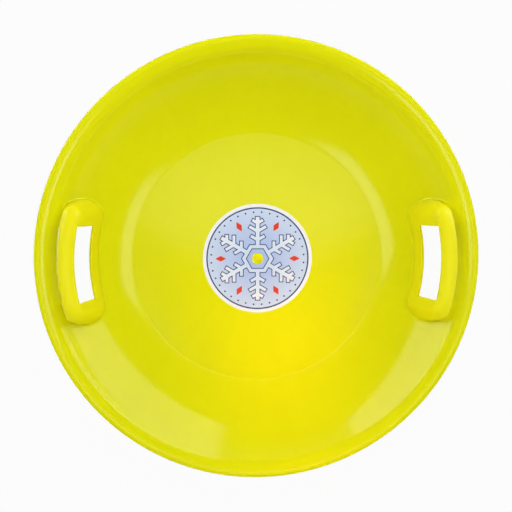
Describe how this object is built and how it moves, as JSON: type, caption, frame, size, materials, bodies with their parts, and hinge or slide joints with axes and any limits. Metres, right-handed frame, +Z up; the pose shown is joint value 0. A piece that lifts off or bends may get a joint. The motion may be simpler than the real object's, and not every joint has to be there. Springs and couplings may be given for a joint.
{
  "type": "saucer sled",
  "caption": "Round plastic saucer sled with a flat floor, curved flank, rolled rim and a raised hand grip at each side, for one rider on snow.",
  "frame": {"origin": "centre of the floor's underside, which is the bottom centre of the box", "axes": "+Z up out of the bowl, +X towards the right grip, +Y towards the top of the label"},
  "size_m": [0.6, 0.6, 0.09],
  "materials": {
    "shell_plastic": "satin moulded polypropylene",
    "grip_plastic": "satin moulded polypropylene",
    "label_film": "printed film"
  },
  "bodies": {
    "root": {"saucer_shell": "shell_plastic", "left_grip": "grip_plastic", "right_grip": "grip_plastic", "label": "label_film"}
  },
  "joints": []
}
